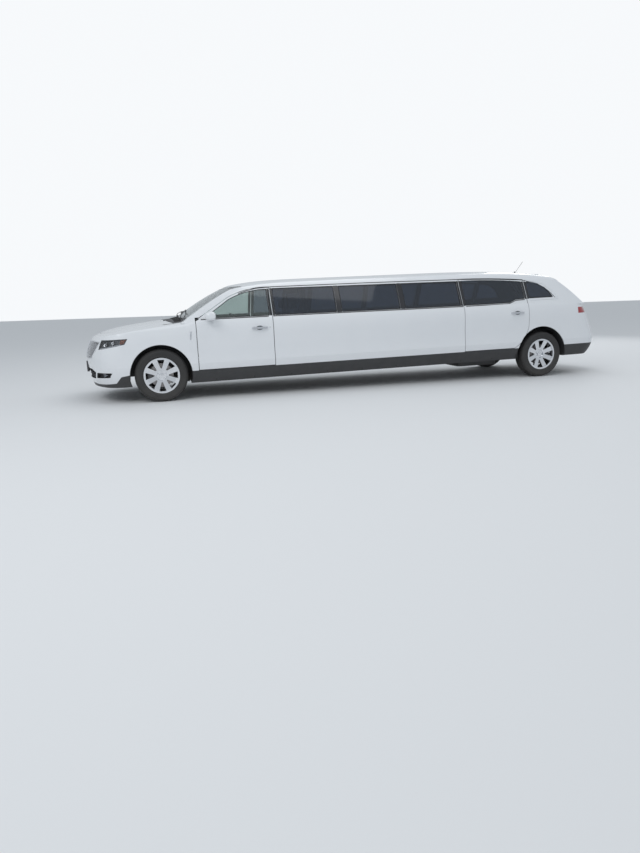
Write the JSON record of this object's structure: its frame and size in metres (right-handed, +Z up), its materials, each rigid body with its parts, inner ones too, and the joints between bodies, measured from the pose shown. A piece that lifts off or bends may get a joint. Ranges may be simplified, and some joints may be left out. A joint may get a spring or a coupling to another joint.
{
  "type": "stretch limousine",
  "caption": "Long-wheelbase crossover limousine with hinged doors, hood and liftgate, steered front wheels and free-turning road wheels.",
  "frame": {"origin": "on the ground under the middle of the car", "axes": "+X to the rear, +Y to the car's right, +Z up"},
  "size_m": [8.3282, 2.24, 1.8847],
  "materials": {
    "white_paint": "gloss",
    "black_cladding": "satin",
    "dark_glass": "gloss",
    "clear_glass": "gloss",
    "chrome": "polished",
    "lamp_glass": "gloss",
    "red_lens": "gloss",
    "tyre": "matte",
    "black_trim": "satin",
    "leather": "satin",
    "underbody": "satin",
    "cast_metal": "rough"
  },
  "bodies": {
    "root": {"aerial": "black_trim", "cowl_panel": "black_cladding", "dashboard": "black_trim", "engine": "cast_metal", "exhaust": "cast_metal", "firewall": "underbody", "floor_pan": "underbody", "front_bumper": "white_paint", "front_fenders": "white_paint", "front_seats": "leather", "front_subframe": "cast_metal", "fuel_tank": "underbody", "grille": "chrome", "grille_backing": "black_trim", "headlamps": "lamp_glass", "lounge_seats": "leather", "lower_cladding": "black_cladding", "partition": "black_trim", "plate_holder": "black_trim", "quarter_panels": "white_paint", "rear_axle": "cast_metal", "rear_bumper": "white_paint", "roof_panel": "white_paint", "side_panels": "white_paint", "side_windows": "dark_glass", "steering_wheel": "black_trim", "tail_lamps": "red_lens", "wheel_liners": "black_cladding", "windscreen": "clear_glass"},
    "front_left_door_body": {"front_left_door": "white_paint", "front_left_handle": "chrome", "front_left_mirror": "white_paint", "front_left_window": "clear_glass"},
    "front_left_wheel_body": {"front_left_wheel": "chrome", "front_left_tyre": "tyre"},
    "front_right_door_body": {"front_right_door": "white_paint", "front_right_handle": "chrome", "front_right_mirror": "white_paint", "front_right_window": "clear_glass"},
    "front_right_wheel_body": {"front_right_wheel": "chrome", "front_right_tyre": "tyre"},
    "rear_left_door_body": {"rear_left_door": "white_paint", "rear_left_handle": "chrome", "rear_left_window": "dark_glass"},
    "rear_left_wheel_body": {"rear_left_wheel": "chrome", "rear_left_tyre": "tyre"},
    "rear_right_door_body": {"rear_right_door": "white_paint", "rear_right_handle": "chrome", "rear_right_window": "dark_glass"},
    "rear_right_wheel_body": {"rear_right_wheel": "chrome", "rear_right_tyre": "tyre"},
    "front_left_knuckle_body": {"front_left_knuckle": "cast_metal"},
    "front_right_knuckle_body": {"front_right_knuckle": "cast_metal"},
    "hood_body": {"hood": "white_paint"},
    "liftgate_body": {"liftgate": "white_paint", "liftgate_glass": "dark_glass", "liftgate_lamp": "red_lens"}
  },
  "joints": [
    {"name": "front_left_door_hinge", "type": "hinge", "parent": "root", "child": "front_left_door_body", "pos_m": [-2.64073, -0.967, 0.70717], "axis": [0.014, 0, -0.9999], "range_deg": [0, 68]},
    {"name": "rear_left_door_hinge", "type": "hinge", "parent": "root", "child": "rear_left_door_body", "pos_m": [1.49387, -0.967, 0.7649], "axis": [0.014, 0, -0.9999], "range_deg": [0, 68]},
    {"name": "front_right_door_hinge", "type": "hinge", "parent": "root", "child": "front_right_door_body", "pos_m": [-2.64073, 0.967, 0.70717], "axis": [-0.014, 0, 0.9999], "range_deg": [0, 68]},
    {"name": "rear_right_door_hinge", "type": "hinge", "parent": "root", "child": "rear_right_door_body", "pos_m": [1.49387, 0.967, 0.7649], "axis": [-0.014, 0, 0.9999], "range_deg": [0, 68]},
    {"name": "hood_hinge", "type": "hinge", "parent": "root", "child": "hood_body", "pos_m": [-2.91559, 0, 1.12538], "axis": [0, 1, 0], "range_deg": [0, 55]},
    {"name": "liftgate_hinge", "type": "hinge", "parent": "root", "child": "liftgate_body", "pos_m": [3.10606, 0, 1.69351], "axis": [0, -1, 0], "range_deg": [0, 80]},
    {"name": "front_left_steer", "type": "hinge", "parent": "root", "child": "front_left_knuckle_body", "pos_m": [-3.152, -0.78, 0.365], "axis": [0, 0, 1], "range_deg": [-35, 35]},
    {"name": "front_right_steer", "type": "hinge", "parent": "root", "child": "front_right_knuckle_body", "pos_m": [-3.152, 0.78, 0.365], "axis": [0, 0, 1], "range_deg": [-35, 35]},
    {"name": "front_left_wheel_spin", "type": "hinge", "parent": "front_left_knuckle_body", "child": "front_left_wheel_body", "pos_m": [-3.152, -0.825, 0.365], "axis": [0, 1, 0], "continuous": true},
    {"name": "front_right_wheel_spin", "type": "hinge", "parent": "front_right_knuckle_body", "child": "front_right_wheel_body", "pos_m": [-3.152, 0.825, 0.365], "axis": [0, 1, 0], "continuous": true},
    {"name": "rear_left_wheel_spin", "type": "hinge", "parent": "root", "child": "rear_left_wheel_body", "pos_m": [2.891, -0.825, 0.365], "axis": [0, 1, 0], "continuous": true},
    {"name": "rear_right_wheel_spin", "type": "hinge", "parent": "root", "child": "rear_right_wheel_body", "pos_m": [2.891, 0.825, 0.365], "axis": [0, 1, 0], "continuous": true}
  ],
  "couplings": [
    {"joint": "front_right_steer", "follows": "front_left_steer", "ratio": 1}
  ]
}
